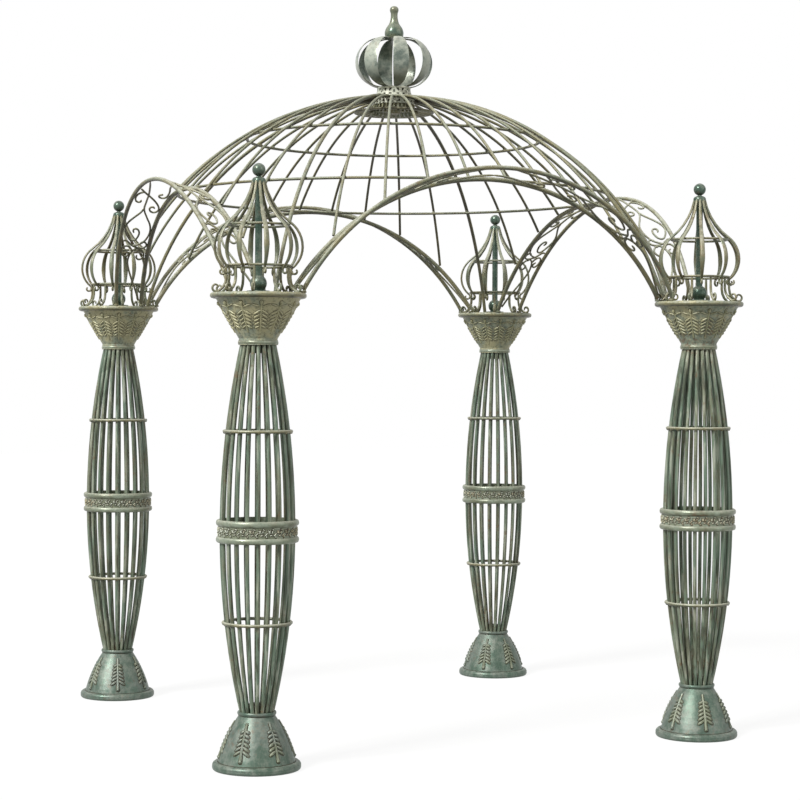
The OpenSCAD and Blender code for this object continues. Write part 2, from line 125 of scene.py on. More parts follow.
def remove(piece):
    """Deletes a pattern piece that has been copied to its places."""
    select_only([piece])
    bpy.ops.object.delete()


def repeat_round(piece, count):
    """Repeats a piece round the upright axis."""
    select_only([piece])
    edit_all()
    turn = math.tau * (count - 1) / count
    bpy.ops.mesh.spin(steps=count - 1, dupli=True, angle=turn, center=(0, 0, 0), axis=(0, 0, 1))
    return leave_edit(piece.name)


def half_step(piece, count):
    """Turns a piece back round the upright axis by half of one of count steps."""
    select_only([piece])
    edit_all()
    bpy.ops.transform.rotate(value=-math.pi / count, orient_axis="Z", center_override=(0, 0, 0))
    return leave_edit(piece.name)


def mirror_half(half):
    """Adds the other half to the active piece of a bay."""
    mirror = half.modifiers.new("other_half", "MIRROR")
    mirror.use_axis = (False, True, False)
    mirror.use_mirror_merge = False
    bpy.ops.object.modifier_apply(modifier="other_half")
    return half


def finish_piece(piece, coat):
    """Shades a piece smoothly across its shallow edges, paints it and hangs it on the frame."""
    select_only([piece])
    bpy.ops.object.shade_smooth_by_angle(angle=math.radians(SMOOTH_BELOW))
    piece.data.materials.clear()
    piece.data.materials.append(coat)
    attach(piece, "root")
    return piece


def to_posts(pattern, label, coat):
    """Copies a pattern made about one post's axis to all four posts."""
    made = {}
    for post, (side_x, side_y) in zip(POST_NAMES, POST_SIDES):
        turn = math.atan2(side_y, side_x) + math.pi
        place = Matrix.Translation((side_x * POST_OUT, side_y * POST_OUT, 0)) @ Matrix.Rotation(turn, 4, "Z")
        made[post] = finish_piece(copy_to(pattern, f"{post}_{label}", place), coat)
    remove(pattern)
    return made


def to_bays(pattern, label, coat):
    """Copies a pattern made in the right-hand bay to all four bays."""
    made = {}
    for bay, turn in BAY_TURNS.items():
        place = Matrix.Rotation(math.radians(turn), 4, "Z")
        made[bay] = finish_piece(copy_to(pattern, f"{bay}_{label}", place), coat)
    remove(pattern)
    return made


# Bent bars in the XZ plane. A bend is (radius, turn in degrees, width at its end) and a straight
# run is (0, length, width at its end). A left turn is positive, and the width is a share of the start's.
# Both ends of a bar taper to a tip, with its width and the taper's length as shares of the radius
BAR_TIP = 0.55
BAR_TAPER = 0.4


def bend_end(x, z, heading, bend):
    """Place and heading after one bend."""
    angle = math.radians(heading)
    if bend[0] == 0:
        return x + bend[1] * math.cos(angle), z + bend[1] * math.sin(angle), heading
    side = math.copysign(bend[0], bend[1])
    after = math.radians(heading + bend[1])
    centre_x = x - side * math.sin(angle)
    centre_z = z + side * math.cos(angle)
    return centre_x + side * math.sin(after), centre_z - side * math.cos(after), heading + bend[1]


def path_end(x, z, heading, bends):
    """Place and heading after a row of bends."""
    for bend in bends:
        x, z, heading = bend_end(x, z, heading, bend)
    return x, z, heading


def bend_centre(x, z, heading, bend):
    """Centre that a bend turns about."""
    angle = math.radians(heading)
    side = math.copysign(bend[0], bend[1])
    return x - side * math.sin(angle), 0, z + side * math.cos(angle)


def grow_ring(x, z, across, deep):
    """Resizes the bar's end ring: across in the plane of the bends, deep square to it."""
    bpy.ops.transform.resize(value=(across, deep, across), center_override=(x, 0, z))


def bent_bar(x, z, heading, bends, radius, sides=8, step=14, deep=1.0, flat_widths=False):
    """Models one bent bar from a ring that is spun round each bend, with tapered ends."""
    start_ring(sides, radius * BAR_TIP, (x, 0, z), (0, math.radians(90 - heading), 0))
    if deep != 1.0:
        grow_ring(x, z, 1, deep)
    x, z, heading = push_ring(x, z, heading, radius * BAR_TAPER)
    grow_ring(x, z, 1 / BAR_TIP, 1 / BAR_TIP)
    width = 1.0
    for bend in bends:
        target = bend[2] if len(bend) > 2 else width
        count = max(2, math.ceil(abs(bend[1]) / step)) if bend[0] else 1
        share = (target / width) ** (1 / count)
        for _ in range(count):
            part = (bend[0], bend[1] / count)
            if bend[0]:
                bpy.ops.mesh.spin(steps=1, angle=math.radians(part[1]),
                                  center=bend_centre(x, z, heading, part), axis=(0, 1, 0))
                x, z, heading = bend_end(x, z, heading, part)
            else:
                x, z, heading = push_ring(x, z, heading, part[1])
            if share != 1.0:
                grow_ring(x, z, 1 if flat_widths else share, share)
        width = target
    x, z, heading = push_ring(x, z, heading, radius * width * BAR_TAPER)
    grow_ring(x, z, BAR_TIP, BAR_TIP)
    bpy.ops.mesh.select_all(action="SELECT")
    bpy.ops.mesh.fill_holes(sides=0)
    return close_shell("bent_bar")


def push_ring(x, z, heading, length):
    """Extrudes the bar's end ring straight ahead."""
    x2, z2, heading = bend_end(x, z, heading, (0, length))
    bpy.ops.mesh.extrude_region_move(TRANSFORM_OT_translate={"value": (x2 - x, 0, z2 - z)})
    return x2, z2, heading


def hoop(radius, z, wire, name, around=72, sides=10, tall=1.0):
    """Models a wire hoop about the upright axis by spinning a ring."""
    start_ring(sides, wire, (radius, 0, z), (math.pi / 2, 0, 0))
    bpy.ops.transform.resize(value=(1, 1, tall), center_override=(radius, 0, z))
    bpy.ops.mesh.spin(steps=around, angle=math.tau, center=(0, 0, 0), axis=(0, 0, 1))
    bpy.ops.mesh.select_all(action="SELECT")
    bpy.ops.mesh.remove_doubles(threshold=0.0001)
    return close_shell(name)


def hoop_set(rows, name):
    """Hoops about the upright axis as one piece: the radius, height, wire and sides of each."""
    made = []
    for radius, z, wire, sides in rows:
        made.append(hoop(radius, z, wire, name, sides=sides))
    return join(made, name)


def stations_over(profile, z):
    """Radius and height of each station of a profile in millimetres over a height."""
    stations = []
    for radius, height in profile:
        stations.append((radius / 1000, z + height / 1000))
    return stations


def ball_stations(z, radius, low, high, step=15):
    """Radius and height of the rings of a ball, between two latitudes in degrees."""
    stations = []
    for latitude in range(low, high + 1, step):
        turn = math.radians(latitude)
        stations.append((radius * math.cos(turn), z + radius * math.sin(turn)))
    return stations


def turned(stations, name, around=40):
    """Models a turned piece: a disc drawn up through the radius and height of each station."""
    radius, z = stations[0]
    start_ring(around, radius, (0, 0, z), fill="NGON")
    for next_radius, next_z in stations[1:]:
        bpy.ops.mesh.extrude_region_move(TRANSFORM_OT_translate={"value": (0, 0, next_z - z)})
        share = next_radius / radius
        bpy.ops.transform.resize(value=(share, share, 1), center_override=(0, 0, next_z))
        radius, z = next_radius, next_z
    return close_shell(name)


# Paint
class Shade:
    """A value among a coat's nodes that takes plain arithmetic."""

    def __init__(self, coat, socket):
        self.coat = coat
        self.socket = socket

    def math(self, operation, first, second):
        made = self.coat.node("ShaderNodeMath", {"operation": operation}, {0: first, 1: second})
        return Shade(self.coat, made.outputs[0])

    def __add__(self, other):
        return self.math("ADD", self, other)

    __radd__ = __add__

    def __sub__(self, other):
        return self.math("SUBTRACT", self, other)

    def __rsub__(self, other):
        return self.math("SUBTRACT", other, self)

    def __mul__(self, other):
        return self.math("MULTIPLY", self, other)

    __rmul__ = __mul__


class Coat:
    """A material and its nodes."""

    def __init__(self, name):
        self.material = bpy.data.materials.new(name)
        self.material.use_nodes = True
        self.tree = self.material.node_tree
        self.shader = self.tree.nodes["Principled BSDF"]

    def node(self, kind, settings, sockets):
        made = self.tree.nodes.new(kind)
        for key, value in settings.items():
            setattr(made, key, value)
        for key, value in sockets.items():
            self.join(made.inputs[key], value)
        return made

    def join(self, socket, value):
        if isinstance(value, Shade):
            self.tree.links.new(value.socket, socket)
        else:
            socket.default_value = value

    def shade(self, kind, settings, sockets, output=0):
        return Shade(self, self.node(kind, settings, sockets).outputs[output])

    def noise(self, place, scale, detail=3.0, roughness=0.55):
        return self.shade("ShaderNodeTexNoise", {}, {"Vector": place, "Scale": scale, "Detail": detail,
                                                     "Roughness": roughness})

    def band(self, value, low, high):
        return self.shade("ShaderNodeMapRange", {"interpolation_type": "SMOOTHSTEP"},
                          {"Value": value, "From Min": low, "From Max": high})

    def mix(self, share, first, second):
        return self.shade("ShaderNodeMix", {"data_type": "RGBA"}, {0: share, 6: first, 7: second}, 2)


def colour(red, green, blue):
    """A paint chip's screen value as a linear colour."""
    def linear(level):
        level /= 255
        return level / 12.92 if level <= 0.04045 else ((level + 0.055) / 1.055) ** 2.4
    return linear(red), linear(green), linear(blue), 1.0


TEAL = colour(81, 100, 87)
DEEP_TEAL = colour(66, 88, 76)
PATINA = colour(103, 122, 104)
SLATE = colour(104, 116, 107)
SAGE = colour(138, 149, 131)
MIST = colour(180, 187, 172)
GREY_GREEN = colour(114, 121, 99)
OLIVE = colour(126, 121, 89)
STRAW = colour(174, 170, 133)
REED = colour(150, 152, 118)
CREAM = colour(212, 212, 194)
TAN = colour(176, 168, 136)
UMBER = colour(44, 37, 20)
SOOT = colour(56, 53, 36)
MOSS = colour(82, 79, 56)
RUST = colour(110, 79, 52)


def aged_paint(name, body, second, pale_strength, top_highlight, under_shade, rust, streak, speckle, rough, metal):
    """Aged paint: two greens in clouds, chalk in patches with a painted highlight on upper faces, dirt in
    patches with painted shade on lower faces, thin rust, runs and specks.
    """
    coat = Coat(name)
    place = coat.shade("ShaderNodeTexCoord", {}, {}, "Object")
    facing = coat.shade("ShaderNodeNewGeometry", {}, {}, "Normal")
    up = coat.shade("ShaderNodeSeparateXYZ", {}, {0: facing}, "Z")
    drawn_out = coat.shade("ShaderNodeMapping", {}, {"Vector": place, "Scale": (1, 1, 0.05)})
    clouds = coat.noise(place, 5.0, 4.0, 0.6)
    patches = coat.noise(drawn_out if streak > 0.3 else place, 26.0, 4.0, 0.6)
    grain = coat.noise(place, 140.0, 3.0, 0.6)
    flecks = coat.noise(place, 70.0, 2.0, 0.5)
    ground = coat.mix(coat.band(clouds * 0.6 + patches * 0.4, 0.42, 0.58), body, second)
    if streak:
        runs = coat.noise(drawn_out, 75.0, 2.0, 0.5)
        ground = coat.mix(coat.band(runs, 0.54, 0.64) * (0.5 * streak), ground, CREAM)
        ground = coat.mix(coat.band(1 - runs, 0.53, 0.63) * streak, ground, SOOT)
    if speckle:
        spots = coat.noise(place, 100.0, 2.0, 0.6)
        ground = coat.mix(coat.band(spots, 0.52, 0.64) * speckle, ground, TAN)
        ground = coat.mix(coat.band(1 - spots, 0.52, 0.64) * speckle, ground, SOOT)
    # Chalk in patches, with a painted highlight that lightens the faces turned up
    chalk_and_highlight_mask = coat.band(patches * 0.6 + grain * 0.4 + up * top_highlight, 0.46, 0.86)
    ground = coat.mix(chalk_and_highlight_mask * pale_strength, ground, CREAM)
    # Dirt in patches, with painted shade that darkens the faces turned down
    dirt_and_shade_mask = coat.band(patches * 0.5 + clouds * 0.5 - up * under_shade, 0.5, 0.95)
    ground = coat.mix(dirt_and_shade_mask * 0.85, ground, UMBER)
    rust_mask = coat.band(flecks * 0.55 + clouds * 0.45, 0.55, 0.68)
    ground = coat.mix(rust_mask * rust, ground, RUST)
    coat.join(coat.shader.inputs["Base Color"], ground)
    coat.join(coat.shader.inputs["Roughness"], patches * 0.3 + (rough - 0.15) + chalk_and_highlight_mask * 0.15)
    coat.join(coat.shader.inputs["Metallic"], metal - chalk_and_highlight_mask * (0.6 * metal))
    coat.shader.inputs["Specular IOR Level"].default_value = 0.4
    bump = coat.shade("ShaderNodeBump", {}, {"Strength": 0.3, "Distance": 0.002,
                                             "Height": grain * 0.6 + patches * 0.4}, "Normal")
    coat.join(coat.shader.inputs["Normal"], bump)
    return coat.material


# Body and second colour, then strength of chalk and painted highlight, painted highlight on top faces,
# painted shade on under faces, rust, runs, specks, roughness and metal
foot_coat = aged_paint("foot_coat", TEAL, SLATE, 0.28, 0.12, 0.18, 0.40, 0.08, 0.0, 0.43, 0.46)
rod_coat = aged_paint("rod_coat", PATINA, GREY_GREEN, 0.26, 0.16, 0.26, 0.60, 0.66, 0.0, 0.34, 0.20)
band_coat = aged_paint("band_coat", GREY_GREEN, SAGE, 0.60, 0.25, 0.25, 0.45, 0.0, 0.25, 0.36, 0.25)
bead_coat = aged_paint("bead_coat", SAGE, GREY_GREEN, 0.50, 0.28, 0.22, 0.40, 0.0, 0.10, 0.32, 0.40)
capital_coat = aged_paint("capital_coat", STRAW, SAGE, 0.30, 0.30, 0.06, 0.60, 0.0, 0.42, 0.48, 0.10)
rim_coat = aged_paint("rim_coat", OLIVE, GREY_GREEN, 0.60, 0.42, 0.38, 0.40, 0.0, 0.15, 0.36, 0.25)
cage_coat = aged_paint("cage_coat", GREY_GREEN, OLIVE, 0.55, 0.25, 0.36, 0.45, 0.20, 0.0, 0.42, 0.15)
spindle_coat = aged_paint("spindle_coat", DEEP_TEAL, TEAL, 0.34, 0.18, 0.40, 0.35, 0.10, 0.0, 0.28, 0.45)
arch_coat = aged_paint("arch_coat", OLIVE, GREY_GREEN, 0.65, 0.32, 0.42, 0.50, 0.0, 0.0, 0.45, 0.12)
scroll_coat = aged_paint("scroll_coat", OLIVE, GREY_GREEN, 0.60, 0.32, 0.45, 0.50, 0.0, 0.0, 0.45, 0.12)
rib_coat = aged_paint("rib_coat", OLIVE, GREY_GREEN, 0.40, 0.32, 0.70, 0.45, 0.0, 0.0, 0.45, 0.12)
finial_coat = aged_paint("finial_coat", TEAL, GREY_GREEN, 0.40, 0.20, 0.18, 0.40, 0.0, 0.0, 0.30, 0.45)
strap_coat = aged_paint("strap_coat", SLATE, MIST, 0.55, 0.22, 0.30, 0.35, 0.0, 0.0, 0.30, 0.30)
collar_coat = aged_paint("collar_coat", CREAM, MIST, 0.90, 0.25, 0.04, 0.20, 0.0, 0.0, 0.50, 0.10)
dish_coat = aged_paint("dish_coat", SOOT, OLIVE, 0.30, 0.20, 0.15, 0.40, 0.0, 0.0, 0.50, 0.15)
pleat_coat = aged_paint("pleat_coat", OLIVE, GREY_GREEN, 0.40, 0.20, 0.20, 0.30, 0.0, 0.0, 0.40, 0.25)
sprig_coat = aged_paint("sprig_coat", GREY_GREEN, SLATE, 0.40, 0.20, 0.14, 0.30, 0.0, 0.0, 0.46, 0.20)
spray_coat = aged_paint("spray_coat", STRAW, REED, 0.60, 0.25, 0.08, 0.40, 0.0, 0.20, 0.45, 0.12)
# Dark coat for the painted shade round the capital's sprays and behind the collar's openings
spray_shade_coat = aged_paint("spray_shade_coat", SOOT, MOSS, 0.12, 0.10, 0.10, 0.40, 0.0, 0.20, 0.55,
                               0.05)
foliage_coat = aged_paint("foliage_coat", MIST, TAN, 0.60, 0.25, 0.12, 0.30, 0.0, 0.0, 0.45, 0.15)
# Dark coat for the painted shade round the sprigs and foliage and inside the rods' ends, and for the dark
# seams of the feet
shade_and_seam_coat = aged_paint("shade_and_seam_coat", SOOT, UMBER, 0.10, 0.05, 0.05, 0.30, 0.0, 0.0, 0.60, 0.05)

NODE_COATS = {"foot": foot_coat, "rods": rod_coat, "bands": band_coat, "capital": capital_coat,
              "onion": cage_coat, "spindle": spindle_coat, "arch": arch_coat, "scrolls": scroll_coat,
              "ribs": rib_coat, "hoops": rib_coat, "hub": dish_coat, "collar": collar_coat,
              "straps": strap_coat, "finial": finial_coat}
for node_name, node_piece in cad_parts.items():
    node_piece.data.materials.clear()
    node_piece.data.materials.append(NODE_COATS[node_name.rsplit("_", 1)[-1]])

# Onion cages: straps that widen at the belly, curls under the lower hoop, flared legs and hoops
CAGE_HOOP_Z = CAPITAL_TOP_Z + 0.104
CAGE_HOOP_R = 0.126
CAGE_WIRE = 0.005
CAGE_BAR = 0.005
CAGE_BELLY_R = 0.170
CAGE_LOW_HEADING = 40
CAGE_TIP_HEADING = 102
CAGE_NECK_TURN = 53
CAGE_NECK_R = 0.0205
CAGE_HIGH_BOW = 0.118
CAGE_OFF = 0.01025
CURL_LAP = 0.0008
CAGE_CURL = [(0.013, 160, 0.9), (0.009, 120, 0.75)]
LEG_BAR = 0.0045
LEG_FLARE = 0.060
LEG_TURN = 60
LEG_TOE = 0.020
LEG_CURL = [(0.014, 160, 0.95), (0.009, 130, 0.75)]
BARS = 10


def cage_bar_path():
    """Start and bends of a cage bar from the lower hoop to the cap."""
    low = math.radians(CAGE_LOW_HEADING)
    x = CAGE_HOOP_R + CAGE_OFF * math.sin(low)
    z = CAGE_HOOP_Z - CAGE_OFF * math.cos(low)
    low_bow = (CAGE_BELLY_R - x) / (1 - math.sin(low))
    neck = math.radians(CAGE_NECK_TURN)
    shoulder_r = CAGE_BELLY_R - CAGE_HIGH_BOW * (1 - math.cos(neck))
    tip = math.radians(CAGE_TIP_HEADING)
    neck_bow = (shoulder_r - CAGE_NECK_R) / (math.sin(tip) - math.cos(neck))
    bends = [(low_bow, 90 - CAGE_LOW_HEADING, 2.0), (CAGE_HIGH_BOW, CAGE_NECK_TURN, 1.6),
             (neck_bow, CAGE_TIP_HEADING - 90 - CAGE_NECK_TURN, 1.0)]
    return x, z, bends


def onion_cage():
    """One onion cage about its post's axis."""
    x, z, bends = cage_bar_path()
    bar = bent_bar(x, z, CAGE_LOW_HEADING, bends, CAGE_BAR, deep=1.1, step=9, flat_widths=True)
    low = math.radians(CAGE_LOW_HEADING)
    curl_x = x + CURL_LAP * math.cos(low)
    curl_z = z + CURL_LAP * math.sin(low)
    curl = bent_bar(curl_x, curl_z, CAGE_LOW_HEADING + 180, CAGE_CURL, CAGE_BAR, step=24)
    strap = repeat_round(join([bar, curl], "cage_bars"), BARS)
    foot_z = CAPITAL_TOP_Z + LEG_BAR
    top_z = CAGE_HOOP_Z - CAGE_WIRE
    sine = math.sin(math.radians(LEG_TURN))
    drop = LEG_FLARE * sine + LEG_TOE * (1 - sine)
    leg_bends = [(0, top_z - foot_z - drop, 1.2), (LEG_FLARE, LEG_TURN, 1.2), (LEG_TOE, 90 - LEG_TURN, 1.1)]
    leg = bent_bar(CAGE_HOOP_R, top_z, -90, leg_bends + LEG_CURL, LEG_BAR, step=20, deep=1.1)
    legs = half_step(repeat_round(leg, BARS), BARS)
    shoulder_x, shoulder_z, shoulder_heading = path_end(x, z, CAGE_LOW_HEADING, bends[:2])
    lean = math.radians(shoulder_heading)
    low_hoop = hoop(CAGE_HOOP_R, CAGE_HOOP_Z, CAGE_WIRE, "cage_low_hoop")
    high_hoop = hoop(shoulder_x - CAGE_OFF * math.sin(lean), shoulder_z + CAGE_OFF * math.cos(lean),
                     CAGE_WIRE, "cage_high_hoop")
    return join([strap, legs, low_hoop, high_hoop], "onion_cage")


for post, piece in to_posts(onion_cage(), "onion_cage", cage_coat).items():
    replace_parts(piece, f"{post}_onion")

# Spindles: flange, round boss, rod, a button cap over the bars' tips and the ball. The profiles are
# in millimetres, the flange's over the capital and the cap's over the tips
FLANGE = ((46, 0), (46, 6), (44, 8), (23.1, 8.5))
BUTTON_CAP = ((25.5, -7), (26.8, -4), (26.8, 3), (25.6, 8), (22.4, 12.5), (16.5, 15.5), (9.5, 17), (9, 18.5))
SPINDLE_R = 0.014
SPINDLE_FOOT = 0.0664
BOSS_R = 0.033
BOSS_UP = 0.0364
SPINDLE_TOP_Z = CAPITAL_TOP_Z + 0.502
BALL_R = 0.026


def spindle():
    """One spindle about its post's axis."""
    base = CAPITAL_TOP_Z + SEAT_GAP
    x, z, bends = cage_bar_path()
    tip_z = path_end(x, z, CAGE_LOW_HEADING, bends)[1]
    flange = stations_over(FLANGE, base)
    boss = ball_stations(base + BOSS_UP, BOSS_R, -45, 60)
    cap = stations_over(BUTTON_CAP, tip_z)
    rod = [(SPINDLE_R, base + SPINDLE_FOOT), (SPINDLE_R, cap[0][1])]
    ball = ball_stations(SPINDLE_TOP_Z - BALL_R, BALL_R, -70, 80)
    top = [(0.002, SPINDLE_TOP_Z)]
    return turned(flange + boss + rod + cap + ball + top, "spindle")


for post, piece in to_posts(spindle(), "spindle", spindle_coat).items():
    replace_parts(piece, f"{post}_spindle")

# Visors: scrolls bent on the flat, then carried onto the leaning surface between the rails
DOME_RISE = 0.926
CORNER_FOOT_R = POST_CIRCLE - 0.155
DOME_R = (CORNER_FOOT_R ** 2 + DOME_RISE ** 2) / (2 * DOME_RISE)
DOME_Z = CAPITAL_TOP_Z + DOME_RISE - DOME_R
INNER_RAIL_R = 0.010
OUTER_RAIL_R = 0.009
INNER_CROWN_Z = CAPITAL_TOP_Z + 0.480
INNER_CROWN_OUT = math.sqrt(DOME_R ** 2 - (INNER_CROWN_Z - DOME_Z) ** 2)
RAIL_FOOT_SIDE = POST_OUT - 0.158
INNER_RAIL = (math.sqrt(CORNER_FOOT_R ** 2 - RAIL_FOOT_SIDE ** 2), INNER_CROWN_OUT, INNER_CROWN_Z)
OUTER_RAIL = (POST_OUT + 0.055, INNER_CROWN_OUT + 0.148, CAPITAL_TOP_Z + 0.514)
SCROLL_R = 0.0045
VISOR_LENGTH = 1.0
VISOR_WIDTH = 0.1


def rail_point(rail, share):
    """Point of a rail's axis, from 0 at its foot to 1 at its crown."""
    foot_out, crown_out, crown_z = rail
    rise = math.hypot(crown_out - foot_out, crown_z - CAPITAL_TOP_Z)
    bow = (RAIL_FOOT_SIDE ** 2 + rise ** 2) / (2 * rise)
    half = 2 * math.atan(rise / RAIL_FOOT_SIDE)
    lean = math.atan2(crown_out - foot_out, crown_z - CAPITAL_TOP_Z)
    turn = half * (1 - share)
    height = bow * math.cos(turn) - bow + rise
    return Vector((foot_out + height * math.sin(lean), bow * math.sin(turn),
                   CAPITAL_TOP_Z + height * math.cos(lean)))


def visor_frame(along, across):
    """Place on the visor and its three directions for a flat place."""
    share = along / VISOR_LENGTH
    inner = rail_point(INNER_RAIL, share)
    outer = rail_point(OUTER_RAIL, share)
    width = (outer - inner).length
    low = INNER_RAIL_R + SCROLL_R
    high = width - OUTER_RAIL_R - SCROLL_R
    side = (outer - inner) / width
    run = rail_point(INNER_RAIL, share + 0.01) - inner
    face = run.cross(side).normalized()
    run = side.cross(face).normalized()
    return inner + side * (low + (high - low) * across / VISOR_WIDTH), run, side, face


def lay_on_visor(bar, sides):
    """Carries a flat bar onto the visor, ring by ring, so that its section stays true."""
    points = [vertex.co.copy() for vertex in bar.data.vertices]
    for first in range(0, len(points), sides):
        ring = points[first:first + sides]
        middle = sum(ring, Vector()) / sides
        place, run, side, face = visor_frame(middle.x, middle.z)
        for step, point in enumerate(ring):
            off = point - middle
            bar.data.vertices[first + step].co = place + run * off.x + side * off.z + face * off.y
    select_only([bar])
    edit_all()
    return close_shell(bar.name)


# Each scroll runs through places on the flat visor: millimetres along it from the foot and across it
SCROLLS = (
    # Long stem from the foot that curls back on the inner rail
    ((30, 1), (80, 18), (150, 45), (200, 61), (240, 68), (280, 62), (308, 50), (324, 32), (312, 11),
     (286, 0.5), (265, 8), (258, 21), (268, 31), (283, 31)),
    # Twin curl beside it on the outer rail
    ((302, 55), (321, 64), (330, 80), (314, 97), (288, 99), (268, 88), (271, 73), (286, 69), (297, 78)),
    # Wavy bar across the visor
    ((318, 22), (331, 37), (336, 54), (351, 70), (363, 85), (357, 99.5)),
    # Small ring on the inner rail
    ((331, 36), (331, 20), (341, 5), (358, 0.5), (372, 10), (369, 22), (358, 25)),
    # Drop, the side on the inner rail, which runs on to the crown
    ((337, 57), (349, 37), (367, 19), (394, 7), (432, 0.5), (468, 2), (505, 11), (552, 31), (612, 52),
     (690, 58), (768, 65), (868, 83), (940, 99.5)),
    # Drop, the side on the outer rail, which ends in a hook inside
    ((616, 53), (588, 57), (560, 66), (525, 80), (490, 93), (456, 99.5), (424, 95), (395, 84), (374, 68),
     (380, 51), (402, 42), (430, 40), (451, 48), (454, 60), (441, 66), (426, 62)),
    # Long eye on the inner rail
    ((806, 99), (778, 80), (750, 57), (712, 29), (672, 8), (638, 0.5), (613, 7), (606, 20), (621, 32),
     (642, 33), (652, 25), (644, 17)),
    # Hook on the outer rail
    ((782, 83), (754, 95), (716, 99.5), (682, 96), (667, 86), (674, 76), (690, 76)),
    # Flat curl on the inner rail by the crown
    ((806, 19), (792, 26), (772, 25), (764, 14), (776, 3), (806, 0.5), (862, 6), (930, 20), (972, 27),
     (1000, 29)))
SCROLL_SIDES = 8
SCROLL_TIP = 0.7


def arc_between(start, along, end):
    """The bend that leaves a place in a direction and ends at another place."""
    run = end - start
    turn = 2 * math.atan2(along.x * run.y - along.y * run.x, along.dot(run))
    if abs(turn) < 0.01:
        return 0, run.length
    return run.length / (2 * math.sin(abs(turn) / 2)), math.degrees(turn)


def bends_through(places):
    """Start, heading and bends in metres of a bar that runs smoothly through places."""
    points = [Vector(place) / 1000 for place in places]
    last = len(points) - 1
    ways = []
    for step in range(last + 1):
        ways.append((points[min(step + 1, last)] - points[max(step - 1, 0)]).normalized())
    bends = []
    for start, way_out, end, way_in in zip(points, ways, points[1:], ways[1:]):
        run = end - start
        spare = 2 * (1 - way_out.dot(way_in))
        lean = run.dot(way_out + way_in)
        if spare < 0.0001:
            reach = run.dot(run) / (2 * lean)
        else:
            reach = (math.sqrt(lean ** 2 + spare * run.dot(run)) - lean) / spare
        middle = (start + end + reach * (way_out - way_in)) / 2
        first = arc_between(start, way_out, middle)
        heading = math.atan2(way_out.y, way_out.x)
        if first[0]:
            heading += math.radians(first[1])
        bends.append(first)
        bends.append(arc_between(middle, Vector((math.cos(heading), math.sin(heading))), end))
    bends[-1] = (*bends[-1], SCROLL_TIP)
    return points[0], math.degrees(math.atan2(ways[0].y, ways[0].x)), bends


def visor_scrolls():
    """All scrolls of the right-hand bay."""
    bars = []
    for places in SCROLLS:
        start, heading, bends = bends_through(places)
        bar = bent_bar(start.x, start.y, heading, bends, SCROLL_R, sides=SCROLL_SIDES, step=16)
        bars.append(lay_on_visor(bar, SCROLL_SIDES))
    return mirror_half(join(bars, "visor_scrolls"))


for bay, piece in to_bays(visor_scrolls(), "visor_scrolls", scroll_coat).items():
    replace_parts(piece, f"{bay}_scrolls")

# Leaves for the relief, modelled on the flat: an oval narrowed at its stalk, raised and creased
LEAF_RIM = 0.14
LEAF_RIM_RISE = 0.12
LEAF_RIDGE_RISE = 0.06
LEAF_STALK = 0.55
# A thin dark sheet under each leaf is painted shade round the leaf: its rise, and how much wider it spreads
SHADE_SHEET_RISE = 0.0010
SHADE_SHEET_SPREAD = 2.4


def leaf(name):
    """One closed leaf of unit size from its stalk at the origin along +X, raised along +Z."""
    start_ring(10, 0.5, (0.5, 0, 0), fill="NGON")
    bpy.ops.mesh.inset(thickness=LEAF_RIM, depth=LEAF_RIM_RISE)
    bpy.ops.mesh.poke(offset=LEAF_RIDGE_RISE)
    bpy.ops.mesh.select_all(action="DESELECT")
    bpy.ops.mesh.select_non_manifold()
    bpy.ops.mesh.edge_face_add()
    piece = leave_edit(name)
    rise = LEAF_RIM_RISE + LEAF_RIDGE_RISE
    for vertex in piece.data.vertices:
        pinch = LEAF_STALK + (1 - LEAF_STALK) * vertex.co.x
        vertex.co = (vertex.co.x, vertex.co.y * pinch, vertex.co.z / rise)
    return piece


def put(pattern, matrix):
    """Copies a pattern piece to a place."""
    return copy_to(pattern, pattern.name, matrix)


def wrap(piece):
    """Bends a flat relief at +X round the post's axis, so that it lies on the turned wall."""
    for vertex in piece.data.vertices:
        radius, along, z = vertex.co
        turn = along / radius
        vertex.co = (radius * math.cos(turn), radius * math.sin(turn), z)
    return piece


def surface_frame(radius, z, lean_deg):
    """Frame on a turned surface at +X: X runs round, Y runs up the slope and Z stands out."""
    lean = math.radians(lean_deg)
    up = Vector((-math.sin(lean), 0, math.cos(lean)))
    out = Vector((math.cos(lean), 0, math.sin(lean)))
    around = Vector((0, 1, 0))
    return Matrix(((around.x, up.x, out.x, radius), (around.y, up.y, out.y, 0),
                   (around.z, up.z, out.z, z), (0, 0, 0, 1)))


class Relief:
    """Raised leaves on a surface, each on a thin dark sheet a little larger than itself that is painted shade
    round it.
    """

    def __init__(self, label, border):
        self.label = label
        self.border = border
        self.blade = leaf(f"{label}_leaf")
        self.raised = []
        self.shade_sheets = []

    def add(self, place, turn, length, width, height):
        """Puts one leaf and its sheet of painted shade at a place on the surface, turned from the way round
        it.
        """
        facing = place @ Matrix.Rotation(math.radians(turn), 4, "Z")
        self.raised.append(put(self.blade, facing @ Matrix.Diagonal((length, width, height, 1))))
        back = facing @ Matrix.Translation((-self.border, 0, 0))
        size = (length + 2 * self.border, width + SHADE_SHEET_SPREAD * self.border, SHADE_SHEET_RISE, 1)
        self.shade_sheets.append(put(self.blade, back @ Matrix.Diagonal(size)))

    def repeat(self, count):
        """Repeats the leaves and their sheets of painted shade round the post's axis."""
        remove(self.blade)
        raised = repeat_round(wrap(join(self.raised, self.label)), count)
        shade_sheets = repeat_round(wrap(join(self.shade_sheets, f"{self.label}_recess")), count)
        return raised, shade_sheets


def lay_relief(relief, count, coat, dark_coat):
    """Lays the relief round all four posts."""
    raised, shade_sheets = relief.repeat(count)
    label = relief.label
    to_posts(raised, label, coat)
    to_posts(shade_sheets, f"{label}_recess", dark_coat)


